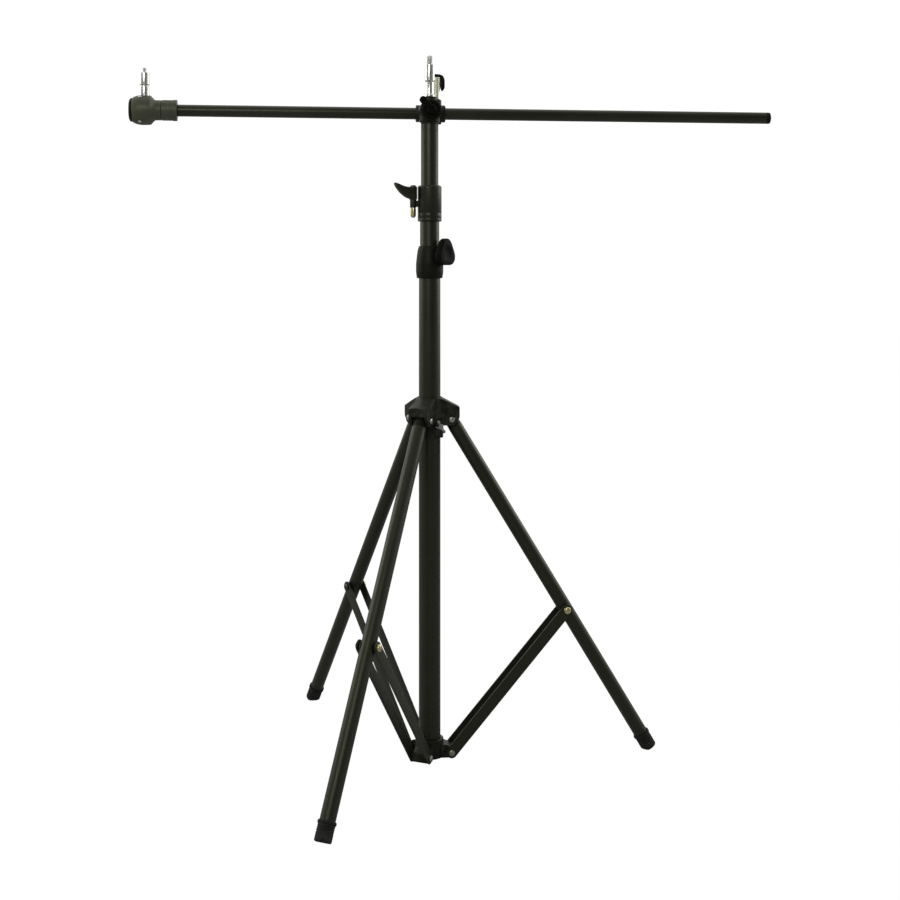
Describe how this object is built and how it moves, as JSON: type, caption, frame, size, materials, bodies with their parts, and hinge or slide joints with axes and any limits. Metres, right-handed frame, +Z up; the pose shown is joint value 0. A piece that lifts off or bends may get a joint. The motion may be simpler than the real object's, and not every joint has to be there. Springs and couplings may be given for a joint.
{
  "type": "convertible boom light stand",
  "caption": "Folding tripod light stand with a telescoping mast, a sliding horizontal boom on a tilting clamp, and lighting spigots on the mast's top and the boom's end.",
  "frame": {"origin": "centre of the column foot's underside, on the mast's axis at floor level", "axes": "+Z up along the mast; X along the boom, with the boom's spigot end towards -X; leg b lies along +X"},
  "size_m": [1.0638, 0.653, 1.1343],
  "materials": {
    "black_tube": "satin black anodised tube with an olive-grey sheen",
    "black_plastic": "black moulded plastic, fine grain",
    "black_casting": "black powder-coated casting, semi-matt",
    "chrome": "bright chrome plating",
    "zinc_steel": "zinc-plated steel",
    "brass": "turned brass, slightly dulled",
    "rubber": "black rubber, matt",
    "grey_plastic": "dark grey sliding plastic"
  },
  "bodies": {
    "base": {"column_tube": "black_tube", "bottom_hub": "black_casting", "column_foot": "black_plastic", "lower_collar": "black_plastic", "hub_bolt_a": "chrome", "hub_bolt_b": "chrome", "hub_bolt_c": "chrome"},
    "lower_knob": {"lower_knob": "black_plastic", "lower_knob_screw": "zinc_steel"},
    "mast_middle": {"middle_tube": "black_tube", "middle_plug": "grey_plastic", "upper_collar": "black_plastic", "lever_bolt": "zinc_steel", "lever_nut": "brass"},
    "collar_lever": {"collar_lever": "black_plastic"},
    "mast_upper": {"upper_tube": "black_tube", "upper_plug": "grey_plastic", "mast_top_plug": "black_casting"},
    "head": {"head_body": "black_casting", "pan_bolt": "zinc_steel", "mast_spigot": "chrome"},
    "boom_clamp": {"boom_clamp": "black_casting"},
    "tilt_knob": {"tilt_knob": "black_plastic"},
    "clamp_screw": {"clamp_screw": "chrome", "clamp_screw_wing": "black_plastic"},
    "boom": {"boom_tube": "black_tube", "boom_end_cap": "black_plastic"},
    "boom_head": {"boom_head_body": "black_casting", "boom_head_cap": "black_plastic", "boom_head_screw_top": "chrome", "boom_head_screw_low": "chrome", "boom_spigot": "chrome"},
    "boom_ring": {"boom_ring": "black_casting"},
    "leg_collar": {"leg_collar": "black_casting", "leg_collar_liner": "grey_plastic", "leg_pivot_bolt_a": "chrome", "leg_pivot_bolt_b": "chrome", "leg_pivot_bolt_c": "chrome"},
    "leg_lock": {"leg_lock_wing": "zinc_steel"},
    "leg_a": {"leg_a_tube": "black_tube", "leg_a_knuckle": "black_plastic", "leg_a_foot": "rubber"},
    "brace_a": {"brace_a_strip_1": "black_tube", "brace_a_strip_2": "black_tube", "brace_a_nut": "brass", "brace_a_bolt": "zinc_steel"},
    "leg_b": {"leg_b_tube": "black_tube", "leg_b_knuckle": "black_plastic", "leg_b_foot": "rubber"},
    "brace_b": {"brace_b_strip_1": "black_tube", "brace_b_strip_2": "black_tube", "brace_b_nut": "brass", "brace_b_bolt": "zinc_steel"},
    "leg_c": {"leg_c_tube": "black_tube", "leg_c_knuckle": "black_plastic", "leg_c_foot": "rubber"},
    "brace_c": {"brace_c_strip_1": "black_tube", "brace_c_strip_2": "black_tube", "brace_c_nut": "brass", "brace_c_bolt": "zinc_steel"}
  },
  "joints": [
    {"name": "leg_fold", "type": "slide", "parent": "base", "child": "leg_collar", "axis": [0, 0, 1], "range_m": [0, 0.1217]},
    {"name": "leg_lock_turn", "type": "hinge", "parent": "leg_collar", "child": "leg_lock", "pos_m": [0.01145, -0.02456, 0.5365], "axis": [0.4226, -0.9063, 0], "continuous": true},
    {"name": "lower_knob_turn", "type": "hinge", "parent": "base", "child": "lower_knob", "pos_m": [0.01846, -0.01549, 0.814], "axis": [0.766, -0.6428, 0], "continuous": true},
    {"name": "mast_middle_slide", "type": "slide", "parent": "base", "child": "mast_middle", "axis": [0, 0, 1], "range_m": [-0.038, 0.57]},
    {"name": "lever_swing", "type": "hinge", "parent": "mast_middle", "child": "collar_lever", "pos_m": [-0.02723, -0.00383, 0.9009], "axis": [0, 0, 1], "range_deg": [-20, 75]},
    {"name": "mast_upper_slide", "type": "slide", "parent": "mast_middle", "child": "mast_upper", "axis": [0, 0, 1], "range_m": [-0.08, 0.57]},
    {"name": "head_pan", "type": "hinge", "parent": "mast_upper", "child": "head", "pos_m": [0, 0, 1.0263], "axis": [0, 0, 1], "continuous": true},
    {"name": "boom_tilt", "type": "hinge", "parent": "head", "child": "boom_clamp", "pos_m": [0, 0.034, 1.0444], "axis": [0, 1, 0], "range_deg": [-45, 45]},
    {"name": "tilt_knob_turn", "type": "hinge", "parent": "head", "child": "tilt_knob", "pos_m": [0, -0.0206, 1.0444], "axis": [0, 1, 0], "continuous": true},
    {"name": "clamp_screw_turn", "type": "hinge", "parent": "boom_clamp", "child": "clamp_screw", "pos_m": [0.0145, 0.034, 1.0673], "axis": [0, 0, 1], "continuous": true},
    {"name": "boom_slide", "type": "slide", "parent": "boom_clamp", "child": "boom", "axis": [1, 0, 0], "range_m": [-0.53, 0.38]},
    {"name": "boom_head_turn", "type": "hinge", "parent": "boom", "child": "boom_head", "pos_m": [-0.4305, 0.034, 1.0444], "axis": [1, 0, 0], "continuous": true},
    {"name": "boom_ring_turn", "type": "hinge", "parent": "boom", "child": "boom_ring", "pos_m": [-0.4302, 0.034, 1.0444], "axis": [1, 0, 0], "continuous": true},
    {"name": "leg_a_hinge", "type": "hinge", "parent": "leg_collar", "child": "leg_a", "pos_m": [-0.0171, -0.02962, 0.5463], "axis": [0.866, -0.5, 0], "range_deg": [0, 31.2]},
    {"name": "brace_a_hinge", "type": "hinge", "parent": "base", "child": "brace_a", "pos_m": [-0.0171, -0.02962, 0.0095], "axis": [-0.866, 0.5, 0], "range_deg": [0, 40.09]},
    {"name": "leg_b_hinge", "type": "hinge", "parent": "leg_collar", "child": "leg_b", "pos_m": [0.0342, 0, 0.5463], "axis": [0, 1, 0], "range_deg": [0, 31.2]},
    {"name": "brace_b_hinge", "type": "hinge", "parent": "base", "child": "brace_b", "pos_m": [0.0342, 0, 0.0095], "axis": [0, -1, 0], "range_deg": [0, 40.09]},
    {"name": "leg_c_hinge", "type": "hinge", "parent": "leg_collar", "child": "leg_c", "pos_m": [-0.0171, 0.02962, 0.5463], "axis": [-0.866, -0.5, 0], "range_deg": [0, 31.2]},
    {"name": "brace_c_hinge", "type": "hinge", "parent": "base", "child": "brace_c", "pos_m": [-0.0171, 0.02962, 0.0095], "axis": [0.866, 0.5, 0], "range_deg": [0, 40.09]}
  ],
  "couplings": [
    {"joint": "leg_a_hinge", "follows": "leg_fold", "rad_per_m": 4.4713},
    {"joint": "brace_a_hinge", "follows": "leg_fold", "rad_per_m": 5.7458},
    {"joint": "leg_b_hinge", "follows": "leg_fold", "rad_per_m": 4.4713},
    {"joint": "brace_b_hinge", "follows": "leg_fold", "rad_per_m": 5.7458},
    {"joint": "leg_c_hinge", "follows": "leg_fold", "rad_per_m": 4.4713},
    {"joint": "brace_c_hinge", "follows": "leg_fold", "rad_per_m": 5.7458}
  ]
}
